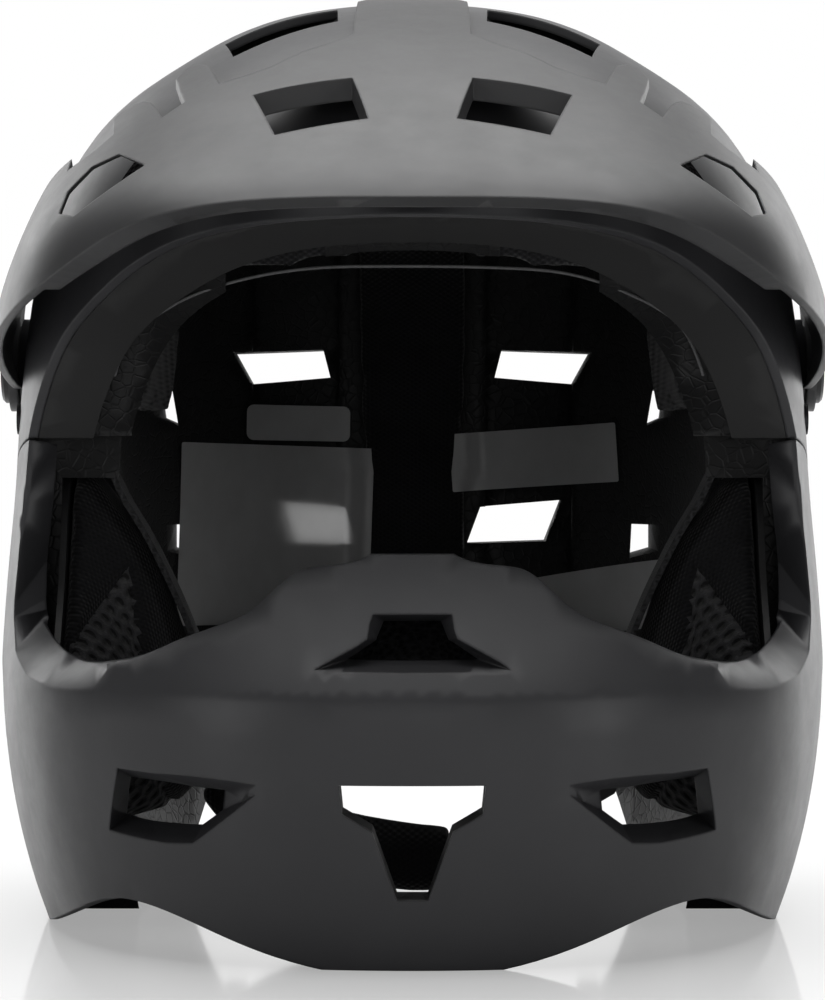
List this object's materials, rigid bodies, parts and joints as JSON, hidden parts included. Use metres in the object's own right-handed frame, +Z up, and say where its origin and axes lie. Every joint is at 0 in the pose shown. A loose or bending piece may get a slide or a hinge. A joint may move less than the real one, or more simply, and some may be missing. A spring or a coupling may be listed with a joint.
{
  "type": "downhill full face helmet",
  "caption": "Full face downhill bike helmet with a tilting forked visor, bevelled chin bar, foam liners, cheek pads and a buckled chin strap.",
  "frame": {"origin": "centre of the bounding box at its base, on the floor between the side edges", "axes": "+Z up, the face looks along -Y, +X to the wearer's left"},
  "size_m": [0.244, 0.3352, 0.2684],
  "materials": {
    "shell": "matt soft-touch coat",
    "band": "matt moulded",
    "visor": "matt soft-touch coat",
    "foam": "fine beads",
    "filter": "open cell foam",
    "net": "moulded net",
    "knit": "brushed knit and spacer net",
    "plate": "moulded",
    "screw": "moulded, fine grain",
    "washer": "smooth",
    "brass": "turned",
    "steel": "zinc plated",
    "webbing": "woven webbing",
    "buckle": "moulded",
    "tongue": "moulded"
  },
  "bodies": {
    "helmet": {"upper_shell": "shell", "brow_band": "band", "chin_bar": "shell", "eps_liner": "foam", "chin_bar_liner": "foam", "nose_vent_foam": "filter", "vent_net_left": "net", "vent_net_right": "net", "crown_pad": "knit", "brow_pad": "knit", "nape_pad": "knit", "side_pad_left": "knit", "side_pad_right": "knit", "cheek_pad_left": "knit", "cheek_pad_right": "knit", "cheek_plate_left": "plate", "cheek_plate_right": "plate", "snap_sockets": "plate", "visor_washers": "washer", "visor_inserts": "brass", "chin_bar_screws": "steel", "strap_rivets": "steel", "strap_left": "webbing", "strap_right": "webbing", "chin_pad": "knit", "buckle_housing": "buckle", "buckle_tongue": "tongue", "buckle_pin": "steel"},
    "visor": {"visor": "visor"},
    "visor_screw_left": {"visor_screw_left": "screw"},
    "visor_screw_right": {"visor_screw_right": "screw"},
    "buckle_lever": {"buckle_lever": "buckle"}
  },
  "joints": [
    {"name": "visor_tilt", "type": "hinge", "parent": "helmet", "child": "visor", "pos_m": [0, 0.01, 0.16], "axis": [-1, 0, 0], "range_deg": [0, 10]},
    {"name": "visor_screw_left_turn", "type": "hinge", "parent": "helmet", "child": "visor_screw_left", "pos_m": [0.118, 0.01, 0.16], "axis": [1, 0, 0], "continuous": true},
    {"name": "visor_screw_right_turn", "type": "hinge", "parent": "helmet", "child": "visor_screw_right", "pos_m": [-0.118, 0.01, 0.16], "axis": [-1, 0, 0], "continuous": true},
    {"name": "buckle_lever_lift", "type": "hinge", "parent": "helmet", "child": "buckle_lever", "pos_m": [0.05226, -0.022, 0.0363], "axis": [0, -1, 0], "range_deg": [0, 35], "stiffness_Nm_per_rad": 0.02, "springref_deg": -11.46}
  ]
}
